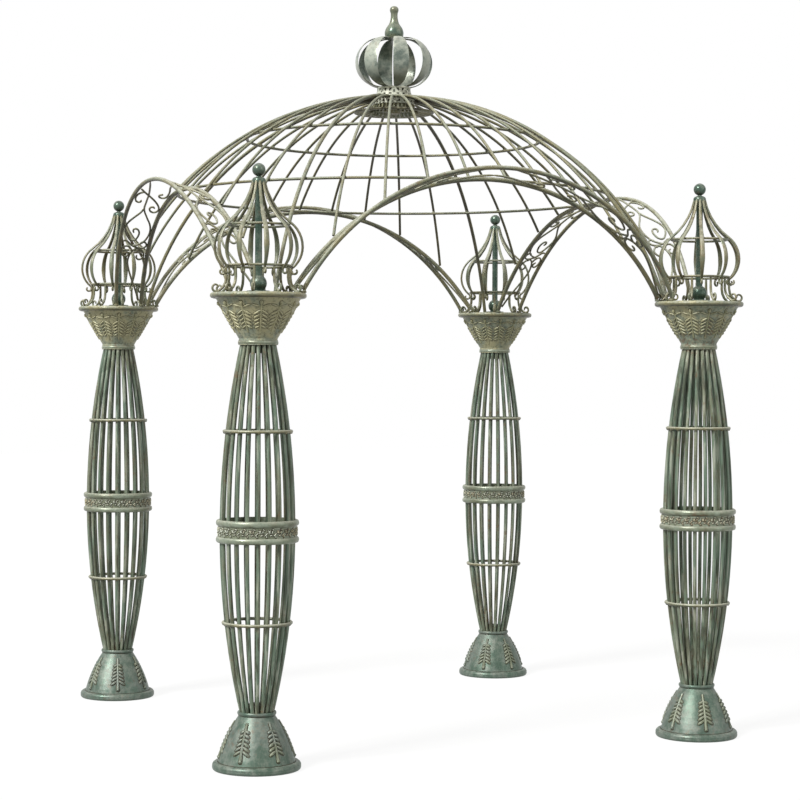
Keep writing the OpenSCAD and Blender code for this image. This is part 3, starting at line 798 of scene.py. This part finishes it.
# Sprigs on the bell feet: the bell's wall is an arc between the shoulder and the lip. Places on it are
# shares of its height, a leaf has its width and height, and the club at the stem's foot its length too
BELL_TOP = (0.071, 0.208)
BELL_LOW = (0.152, 0.024)
BELL_RISE = 0.009
BELL_HALF = math.dist(BELL_TOP, BELL_LOW) / 2
BELL_BOW = (BELL_HALF ** 2 + BELL_RISE ** 2) / (2 * BELL_RISE)
BELL_HALF_TURN = math.asin(BELL_HALF / BELL_BOW)
SPRIGS = 6
SPRIG_LOW = 0.13
SPRIG_HIGH = 0.86
SPRIG_STEM = 0.0078
SPRIG_RECESS = 0.0016
SPRIG_PAIRS = 6
SPRIG_FIRST_PAIR = 0.345
SPRIG_PAIR_STEP = 0.078
SPRIG_LEAF = (0.0152, 0.0072)
SPRIG_CLUB = (0.0170, 0.0190, 0.0092)


def bell_wall(share):
    """Radius, height and lean of the bell's wall, from 0 at the lip to 1 at the shoulder."""
    run = ((BELL_TOP[0] - BELL_LOW[0]) / (2 * BELL_HALF), (BELL_TOP[1] - BELL_LOW[1]) / (2 * BELL_HALF))
    out = (run[1], -run[0])
    turn = BELL_HALF_TURN * (2 * share - 1)
    along = BELL_BOW * math.sin(turn)
    proud = BELL_BOW * math.cos(turn) - BELL_BOW + BELL_RISE
    middle = ((BELL_TOP[0] + BELL_LOW[0]) / 2, (BELL_TOP[1] + BELL_LOW[1]) / 2)
    chord_lean = math.degrees(math.atan2(-run[0], run[1]))
    return (middle[0] + along * run[0] + proud * out[0], middle[1] + along * run[1] + proud * out[1],
            chord_lean + math.degrees(turn))


def foot_sprigs():
    """Sprigs in relief round one bell foot."""
    relief = Relief("foot_sprigs", 0.0026)
    sweep = math.degrees(2 * BELL_HALF_TURN) * (SPRIG_HIGH - SPRIG_LOW)
    radius, z, lean = bell_wall(SPRIG_LOW)
    stem_bends = [(BELL_BOW, sweep * 0.2, 0.85), (BELL_BOW, sweep * 0.8, 0.62)]
    relief.raised.append(bent_bar(radius - 0.0012, z, 90 + lean, stem_bends, SPRIG_STEM, step=2))
    # A flat dark bar under the stem, a little wider than it, is painted shade round the stem
    radius, z, lean = bell_wall(SPRIG_LOW - 0.018)
    shade_bends = [(BELL_BOW, sweep * 0.2, 0.85), (BELL_BOW, sweep * 0.85, 0.72)]
    relief.shade_sheets.append(bent_bar(radius, z, 90 + lean, shade_bends, SPRIG_RECESS, step=2, deep=6.2,
                                flat_widths=True))
    for pair in range(SPRIG_PAIRS):
        place = surface_frame(*bell_wall(SPRIG_FIRST_PAIR + SPRIG_PAIR_STEP * pair))
        length = 0.041 - 0.0034 * pair
        for turn in (-34, 214):
            relief.add(place, turn, length, *SPRIG_LEAF)
    relief.add(surface_frame(*bell_wall(SPRIG_LOW + 0.04)), -90, *SPRIG_CLUB)
    return relief


lay_relief(foot_sprigs(), SPRIGS, sprig_coat, shade_and_seam_coat)

# The thick roll at the ground and the thin one round the neck, and the dark lines at the seams beside
# them: the radius, height, wire and sides of each
FOOT_BEADS = ((0.1575, 0.0158, 0.0155, 14), (0.0692, 0.2180, 0.0066, 10))
FOOT_SEAMS = ((0.0712, 0.2108, 0.0022, 6), (0.1505, 0.0296, 0.0024, 6))
to_posts(hoop_set(FOOT_BEADS, "foot_beads"), "foot_beads", foot_coat)
to_posts(hoop_set(FOOT_SEAMS, "foot_seams"), "foot_seams", shade_and_seam_coat)

# Leaf sprays on the capitals, given in the same way, with a bud and two arms over the leaves
CONE_LOW = (0.075, CAPITAL_FOOT_Z + 0.014)
CONE_TOP = (0.169, CAPITAL_FOOT_Z + 0.177)
SPRAYS = 12
SPRAY_LOW = 0.14
SPRAY_HIGH = 0.77
SPRAY_STEM = 0.0038
SPRAY_PAIRS = 5
SPRAY_FIRST_PAIR = 0.32
SPRAY_PAIR_STEP = 0.088
SPRAY_LEAF = (0.0112, 0.0060)
SPRAY_BUD = (0.022, 0.0175, 0.0085)
SPRAY_ARM = (0.042, 0.0080, 0.0056)


def cone_wall(share):
    """Radius, height and lean of the capital's wall, from 0 at the collar to 1 under the rim."""
    lean = -math.degrees(math.atan2(CONE_TOP[0] - CONE_LOW[0], CONE_TOP[1] - CONE_LOW[1]))
    return (CONE_LOW[0] + (CONE_TOP[0] - CONE_LOW[0]) * share,
            CONE_LOW[1] + (CONE_TOP[1] - CONE_LOW[1]) * share, lean)


def capital_sprays():
    """Leaf sprays with a bud on top in relief round one capital."""
    relief = Relief("capital_sprays", 0.0021)
    radius, z, lean = cone_wall(SPRAY_LOW)
    half = math.dist(CONE_LOW, CONE_TOP) * (SPRAY_HIGH - SPRAY_LOW) / 2
    relief.raised.append(bent_bar(radius, z, 90 + lean, [(0, half, 1.1), (0, half, 0.9)], SPRAY_STEM))
    for pair in range(SPRAY_PAIRS):
        place = surface_frame(*cone_wall(SPRAY_FIRST_PAIR + SPRAY_PAIR_STEP * pair))
        length = 0.028 + 0.0026 * pair
        for turn in (-36, 216):
            relief.add(place, turn, length, *SPRAY_LEAF)
    relief.add(surface_frame(*cone_wall(SPRAY_HIGH)), 90, *SPRAY_BUD)
    arm_place = surface_frame(*cone_wall(SPRAY_HIGH - 0.03))
    for turn in (16, 164):
        relief.add(arm_place, turn, *SPRAY_ARM)
    return relief


lay_relief(capital_sprays(), SPRAYS, spray_coat, spray_shade_coat)

# Roll of a capital's rim and the bead round its neck: radius, height and wire
RIM_ROLL = (0.1765, 1.8348, 0.0111)
NECK_BEAD = (0.0722, 1.6530, 0.0066)
NECK_BEAD_TALL = 1.42
to_posts(hoop(*RIM_ROLL, "rim_roll"), "rim_roll", rim_coat)
to_posts(hoop(*NECK_BEAD, "neck_bead", tall=NECK_BEAD_TALL), "neck_bead", bead_coat)

# Belly bands: thick beads above and below a strip of foliage. Each leaf of a motif has its place along
# and up the band, its turn in degrees and its length
BELLY_Z = 0.924
BAND_HALF = 0.044
BAND_WALL_R = 0.15225
BEAD_R = 0.1545
BEAD_DEEP = 0.0068
BEAD_HALF = 0.0115
BAND_MOTIFS = 26
FOLIAGE = ((-0.017, -0.012, 45, 0.020), (-0.003, 0.012, -45, 0.020), (-0.012, 0.010, 150, 0.012),
           (0.004, -0.011, 25, 0.013), (0.010, 0.011, 205, 0.012), (-0.010, -0.008, -70, 0.011),
           (0.014, -0.002, 80, 0.012), (-0.002, 0.001, 10, 0.010))
FOLIAGE_LEAF = (0.0056, 0.0050)


def band_beads():
    """The two half-round beads of one belly band."""
    beads = []
    for side in (-1, 1):
        z = BELLY_Z + side * (BAND_HALF - BEAD_HALF)
        beads.append(hoop(BEAD_R, z, BEAD_DEEP, "band_bead", tall=BEAD_HALF / BEAD_DEEP))
    return join(beads, "band_beads")


def band_foliage():
    """Leaves round one belly band."""
    relief = Relief("band_foliage", 0.0028)
    face = surface_frame(BAND_WALL_R, BELLY_Z, 0)
    for along, up, turn, length in FOLIAGE:
        relief.add(face @ Matrix.Translation((along, up, 0)), turn, length, *FOLIAGE_LEAF)
    return relief


to_posts(band_beads(), "band_beads", bead_coat)
lay_relief(band_foliage(), BAND_MOTIFS, foliage_coat, shade_and_seam_coat)

# Plugs that close the rods' seats, painted dark as painted shade in the gaps between the rods: height of the
# seat, rise and radius
FOOT_PLUG = (0.2122, 0.042, 0.0485)
CAPITAL_PLUG = (CAPITAL_FOOT_Z - 0.0002, -0.042, 0.051)


def rod_plug(z, rise, radius):
    """A domed plug inside the rods' ends, which stands up or hangs down from its seat."""
    stations = [(radius, z), (radius, z + 0.6 * rise), (0.85 * radius, z + 0.9 * rise),
                (0.51 * radius, z + rise)]
    return turned(stations, "rod_plug")


to_posts(rod_plug(*FOOT_PLUG), "foot_plug", shade_and_seam_coat)
to_posts(rod_plug(*CAPITAL_PLUG), "capital_plug", shade_and_seam_coat)

# Wire hoops round the rods of a post, and weld beads where they cross
ROD_R = 0.008
ROD_BELLY_R = 0.139
ROD_LOW = (0.058, 0.214)
ROD_HIGH = (0.061, 1.652)
RODS = 20
POST_HOOPS = (0.568, 1.310)
POST_HOOP_WIRE = 0.0064
POST_HOOP_OUT = 0.0050
POST_WELD_OUT = 0.0035
POST_WELD = 0.0070


def rod_face(z):
    """Outer face of a rod at a height and the rod's lean there, in degrees."""
    end_r, end_z = ROD_LOW if z < BELLY_Z else ROD_HIGH
    rise = abs(end_z - BELLY_Z)
    depth = ROD_BELLY_R - end_r
    bow = (rise ** 2 + depth ** 2) / (2 * depth)
    lean = math.asin(abs(z - BELLY_Z) / bow)
    face = ROD_BELLY_R - bow * (1 - math.cos(lean)) + ROD_R / math.cos(lean)
    return face, math.degrees(lean) if z > BELLY_Z else -math.degrees(lean)


def weld(x, z, heading, size):
    """One lumpy weld bead centred on a point and drawn out along a heading."""
    angle = math.radians(heading)
    start_x = x - size * 1.4 * math.cos(angle)
    start_z = z - size * 1.4 * math.sin(angle)
    runs = [(0, size * 0.8, 1.3), (0, size * 0.9, 0.9)]
    return bent_bar(start_x, start_z, heading, runs, size * 0.8, sides=6)


def post_welds():
    """Weld beads of both wire hoops of one post."""
    beads = []
    for z in POST_HOOPS:
        face, lean = rod_face(z)
        beads.append(weld(face + POST_WELD_OUT, z, 90 + lean, POST_WELD))
    return repeat_round(half_step(join(beads, "post_welds"), RODS), RODS)


def post_hoops():
    """The two wire hoops of one post, pressed onto the rods."""
    rows = []
    for z in POST_HOOPS:
        rows.append((rod_face(z)[0] + POST_HOOP_OUT, z, POST_HOOP_WIRE, 12))
    return hoop_set(rows, "post_hoops")


to_posts(post_hoops(), "post_hoops", rim_coat)
to_posts(post_welds(), "post_welds", rim_coat)

# Weld beads where the ribs cross the dome's hoops
RIB_R = 0.006
RIBS = 36
HIGH_HOOP_TURN = 30.7
LOW_HOOP_R = INNER_CROWN_OUT - INNER_RAIL_R - 0.00625
LOW_WELD_BEARINGS = (25, 35, 45, 55, 65)
DOME_WELD = 0.0068


def dome_welds():
    """Weld beads at the crossings of both dome hoops."""
    under = DOME_R - RIB_R
    low_turn = math.degrees(math.asin(LOW_HOOP_R / (under - RIB_R)))
    beads = []
    for turn in (HIGH_HOOP_TURN, low_turn):
        angle = math.radians(turn)
        beads.append(weld(under * math.sin(angle), DOME_Z + under * math.cos(angle), -turn, DOME_WELD))
    rows = [half_step(repeat_round(beads[0], RIBS), RIBS)]
    for bearing in LOW_WELD_BEARINGS:
        low = put(beads[1], Matrix.Rotation(math.radians(bearing), 4, "Z"))
        rows.append(repeat_round(low, len(BAY_TURNS)))
    remove(beads[1])
    return join(rows, "dome_welds")


finish_piece(dome_welds(), rib_coat)

# Wire curls at the feet of the rails
CURL_WIRE = 0.004
CURL_R = 0.0115
CURL_BENDS = [(0, 0.022, 1.0), (CURL_R, 250, 0.95), (CURL_R * 0.6, 120, 0.8)]
CURL_INWARD = 0.010


def rail_curls():
    """The curls of the right-hand bay, flat against the feet of both rails."""
    curls = []
    for rail, side, thick in ((INNER_RAIL, -1, INNER_RAIL_R), (OUTER_RAIL, 1, OUTER_RAIL_R)):
        top_z = CAPITAL_TOP_Z + CURL_WIRE + CURL_R + 0.024
        curl = bent_bar(0, top_z, -90, CURL_BENDS, CURL_WIRE, step=24)
        place = Matrix.Translation((rail[0] + side * (thick + CURL_WIRE), RAIL_FOOT_SIDE - CURL_INWARD, 0))
        curls.append(copy_to(curl, "rail_curl", place @ Matrix.Rotation(math.pi / 2, 4, "Z")))
        remove(curl)
    return mirror_half(join(curls, "rail_curls"))


to_bays(rail_curls(), "rail_curls", scroll_coat)

# Strap ball: bowed straps that widen at the belly, set at these bearings in degrees
STRAP_BEARINGS = (43.8, 81.3, 122.3, 167.3, 209.3, 257.6, 305.8, 354.8)
STRAP_Z = CAPITAL_TOP_Z + DOME_RISE + 0.0455
STRAP_BOW = 0.111
STRAP_FOOT_R = 0.060
STRAP_TIP_R = 0.044
STRAP_HALF_T = 0.0026
STRAP_HALF_SPAN = 11.8
STRAP_STEPS = 14


def strap_ball():
    """All straps of the ball."""
    turn = 180 / STRAP_STEPS
    bends = []
    for step in range(1, STRAP_STEPS + 1):
        reach = STRAP_FOOT_R + STRAP_BOW * math.sin(math.radians(step * turn))
        bends.append((STRAP_BOW - STRAP_HALF_T, turn, reach / STRAP_FOOT_R))
    bends.append((0, STRAP_FOOT_R - STRAP_TIP_R, STRAP_TIP_R / STRAP_FOOT_R))
    flat = STRAP_FOOT_R * math.tan(math.radians(STRAP_HALF_SPAN)) / STRAP_HALF_T
    strap = bent_bar(STRAP_FOOT_R, STRAP_Z + STRAP_HALF_T, 0, bends, STRAP_HALF_T, sides=16, step=7,
                     deep=flat, flat_widths=True)
    straps = []
    for bearing in STRAP_BEARINGS:
        straps.append(put(strap, Matrix.Rotation(math.radians(bearing), 4, "Z")))
    remove(strap)
    return join(straps, "strap_ball")


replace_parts(finish_piece(strap_ball(), strap_coat), "crown_straps")

# Turned finial: the radius and the height over the straps of each station, in millimetres
FINIAL_Z = STRAP_Z + 2 * STRAP_BOW + SEAT_GAP
FINIAL = ((43, -5), (43, 0), (47, 0), (47, 2.5), (38, 3.5), (41.5, 11), (42.6, 19), (42, 27), (39.5, 36),
          (35.5, 45), (30, 53), (24.5, 60.5), (20.5, 69), (17.8, 78), (16, 88), (15.2, 98), (15.4, 107),
          (16.6, 113), (18.6, 118.5), (19.8, 125), (18.7, 131.5), (15.5, 137), (10, 141), (3, 143))


def finial():
    """The finial over the strap ball."""
    return turned(stations_over(FINIAL, FINIAL_Z), "finial")


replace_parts(finish_piece(finial(), finial_coat), "crown_finial")

# Pierced collar under the strap ball and the skirt below the ribs. In a motif an o is an opening
COLLAR_Z = CAPITAL_TOP_Z + DOME_RISE + SEAT_GAP
COLLAR_H = 0.045
COLLAR_FOOT_R = 0.085
COLLAR_TOP_R = 0.073
COLLAR_WALL = 0.005
COLLAR_FOOT_BEAD = 0.004
COLLAR_TOP_BEAD = 0.0045
COLLAR_LID = 0.005
COLLAR_AROUND = 48
COLLAR_REPEATS = 8
COLLAR_MOTIF = (".........", ".oo...oo.", "....o....", ".o..o..o.", ".oo...oo.", ".........")
SKIRT_FOOT = (0.0925, COLLAR_Z - 0.031)
SKIRT_TOP = (0.0915, COLLAR_Z - 0.010)
SKIRT_MOTIF = (".........", ".oo...oo.", ".o..o..o.", ".........")
SKIRT_WALL = 0.0022
SKIRT_BEAD = 0.003


def pierced_strip(motif, foot, top, thickness, name):
    """A strip with openings, smoothed, bent round and thickened. Foot and top are a radius and a height."""
    rows = len(motif)
    columns = len(motif[0]) * COLLAR_REPEATS
    deselect()
    bpy.ops.mesh.primitive_grid_add(x_subdivisions=columns, y_subdivisions=rows, size=1,
                                    location=(0.5, 0.5, 0))
    fix_place()
    bpy.ops.object.mode_set(mode="EDIT")
    bpy.ops.mesh.select_mode(type="FACE")
    bpy.ops.mesh.select_all(action="DESELECT")
    strip = leave_edit(name)
    for face in strip.data.polygons:
        row = motif[int(face.center.y * rows)]
        face.select = row[int(face.center.x * columns) % len(row)] == "o"
    bpy.ops.object.mode_set(mode="EDIT")
    bpy.ops.mesh.delete(type="FACE")
    bpy.ops.mesh.select_mode(type="VERT")
    bpy.ops.object.mode_set(mode="OBJECT")
    for vertex in strip.data.vertices:
        angle = vertex.co.x * math.tau
        share = vertex.co.y
        radius = foot[0] + (top[0] - foot[0]) * math.sin(share * math.pi / 2)
        height = foot[1] + (top[1] - foot[1]) * share
        vertex.co = (radius * math.cos(angle), radius * math.sin(angle), height)
    edit_all()
    bpy.ops.mesh.remove_doubles(threshold=0.0001)
    close_shell(name)
    rounding = strip.modifiers.new("rounding", "SUBSURF")
    rounding.levels = 2
    rounding.render_levels = 2
    wall = strip.modifiers.new("wall", "SOLIDIFY")
    wall.thickness = thickness
    bpy.ops.object.modifier_apply(modifier="rounding")
    bpy.ops.object.modifier_apply(modifier="wall")
    return strip


def pierced_collar():
    """The pierced strip with a bead at both edges and a lid."""
    top_z = COLLAR_Z + COLLAR_H
    strip = pierced_strip(COLLAR_MOTIF, (COLLAR_FOOT_R, COLLAR_Z), (COLLAR_TOP_R, top_z), COLLAR_WALL,
                          "collar_strip")
    foot_bead = hoop(COLLAR_FOOT_R - 0.003, COLLAR_Z + COLLAR_FOOT_BEAD, COLLAR_FOOT_BEAD, "collar_foot_bead")
    lid_r = COLLAR_TOP_R - 0.002
    top_bead = hoop(lid_r, top_z - COLLAR_TOP_BEAD, COLLAR_TOP_BEAD, "collar_top_bead")
    lid_z = top_z - 0.001
    lid = turned([(lid_r, lid_z), (lid_r, lid_z - COLLAR_LID)], "collar_lid", COLLAR_AROUND)
    return join([strip, foot_bead, top_bead, lid], "pierced_collar")


def collar_skirt():
    """The pierced strip round the hub below the ribs, with a bead at its foot."""
    strip = pierced_strip(SKIRT_MOTIF, SKIRT_FOOT, SKIRT_TOP, SKIRT_WALL, "skirt_strip")
    bead = hoop(SKIRT_FOOT[0] - 0.001, SKIRT_FOOT[1], SKIRT_BEAD, "skirt_bead")
    return join([strip, bead], "collar_skirt")


def collar_sleeve():
    """The dark sleeve behind the collar's openings, painted shade that shows through them."""
    foot = (COLLAR_FOOT_R - 0.012, COLLAR_Z + 0.001)
    top = (COLLAR_TOP_R - 0.011, foot[1] + COLLAR_H - 0.008)
    return turned([foot, top], "collar_sleeve", COLLAR_AROUND)


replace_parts(finish_piece(pierced_collar(), collar_coat), "crown_collar")
finish_piece(collar_skirt(), collar_coat)
finish_piece(collar_sleeve(), spray_shade_coat)

# Pleats on the underside of the dish and flutes round the boss over it
DISH_Z = CAPITAL_TOP_Z + DOME_RISE - 0.072
DISH_SLOPE = -math.degrees(math.atan2(0.0155, 0.082))
PLEATS = 32
PLEAT_BENDS = [(0, 0.038, 1.3), (0.05, DISH_SLOPE, 1.4), (0, 0.074, 2.0)]
PLEAT_R = 0.0036
FLUTE_BENDS = [(0.060, 38, 1.3), (0, 0.008, 1.4)]
FLUTE_R = 0.0040


def dish_pleats():
    """Radial pleats pressed into the dish."""
    pleat = bent_bar(0.046, DISH_Z + 0.017, 0, PLEAT_BENDS, PLEAT_R, step=6, flat_widths=True)
    return repeat_round(pleat, PLEATS)


def hub_flutes():
    """Flutes round the boss over the dish."""
    flute = bent_bar(0.0885, DISH_Z + 0.044, -90, FLUTE_BENDS, FLUTE_R, step=10)
    return repeat_round(flute, PLEATS)


finish_piece(dish_pleats(), pleat_coat)
finish_piece(hub_flutes(), pleat_coat)

# Floor, light and camera
FLOOR_SIZE = 60
FLOOR_Z = -0.0005
FLOOR_GREY = (0.35, 0.35, 0.34, 1)
FLOOR_GLOW = 1.29
SHADOW_SHARE = 0.30
WHITE = (1, 1, 1, 1)
SKY_TINT = (1, 0.985, 0.95, 1)
SKY_POWER = 0.22
LAMP_AIM_Z = 1.5
CAMERA_PLACE = (-3.711, -8.676, 1.537)
CAMERA_TURNS = (89.27, -0.26, -23.36)
CAMERA_FILM = 36
CAMERA_LENS = 94.5
SEEN_RAYS = ("Is Camera Ray", "Is Glossy Ray", "Is Transmission Ray")


def seen_share(tree):
    """Socket that is 1 for rays that see a surface, directly or in gloss, and 0 for those that light it."""
    path = tree.nodes.new("ShaderNodeLightPath")
    share = path.outputs[SEEN_RAYS[0]]
    for ray in SEEN_RAYS[1:]:
        either = tree.nodes.new("ShaderNodeMath")
        either.operation = "MAXIMUM"
        tree.links.new(share, either.inputs[0])
        tree.links.new(path.outputs[ray], either.inputs[1])
        share = either.outputs[0]
    return share


def blend_shaders(tree, share, lit, seen, output):
    """Shows one shader to the rays that see it and the other one to the rays that light."""
    both = tree.nodes.new("ShaderNodeMixShader")
    tree.links.new(share, both.inputs[0])
    tree.links.new(lit, both.inputs[1])
    tree.links.new(seen, both.inputs[2])
    tree.links.new(both.outputs[0], tree.nodes[output].inputs["Surface"])


def floor():
    """The pale floor under the gazebo, which reads as white and keeps the gazebo's soft shadow."""
    coat = Coat("floor_coat")
    coat.shader.inputs["Base Color"].default_value = FLOOR_GREY
    coat.shader.inputs["Roughness"].default_value = 0.9
    glow = coat.node("ShaderNodeEmission", {}, {"Color": WHITE, "Strength": FLOOR_GLOW})
    share = Shade(coat, seen_share(coat.tree)) * (1 - SHADOW_SHARE)
    blend_shaders(coat.tree, share.socket, coat.shader.outputs[0], glow.outputs[0], "Material Output")
    deselect()
    bpy.ops.mesh.primitive_plane_add(size=FLOOR_SIZE, location=(0, 0, FLOOR_Z))
    fix_place()
    ground = bpy.context.object
    ground.name = "floor"
    ground.data.materials.append(coat.material)


def sky():
    """A white sky that lights the gazebo less than it shows."""
    world = bpy.data.worlds.new("studio")
    bpy.context.scene.world = world
    world.use_nodes = True
    tree = world.node_tree
    lit = tree.nodes["Background"]
    lit.inputs["Color"].default_value = SKY_TINT
    lit.inputs["Strength"].default_value = SKY_POWER
    seen = tree.nodes.new("ShaderNodeBackground")
    seen.inputs["Color"].default_value = WHITE
    seen.inputs["Strength"].default_value = 1.0
    blend_shaders(tree, seen_share(tree), lit.outputs[0], seen.outputs[0], "World Output")


def far_lamp(name, place, power, spread):
    """A far soft lamp that shines from a place towards the middle of the gazebo."""
    deselect()
    bpy.ops.object.light_add(type="SUN", location=place)
    made = bpy.context.object
    made.name = name
    made.data.energy = power
    made.data.angle = math.radians(spread)
    towards = Vector((0, 0, LAMP_AIM_Z)) - Vector(place)
    made.rotation_euler = towards.to_track_quat("-Z", "Y").to_euler()


floor()
sky()
far_lamp("key_lamp", (-7.9, -3.2, 8.5), 3.6, 14)
far_lamp("fill_lamp", (6.0, -7.0, 3.5), 0.5, 50)

deselect()
bpy.ops.object.camera_add(location=CAMERA_PLACE, rotation=[math.radians(turn) for turn in CAMERA_TURNS])
camera = bpy.context.object
camera.data.sensor_width = CAMERA_FILM
camera.data.lens = CAMERA_LENS
bpy.context.scene.camera = camera
bpy.context.scene.view_settings.view_transform = "Standard"
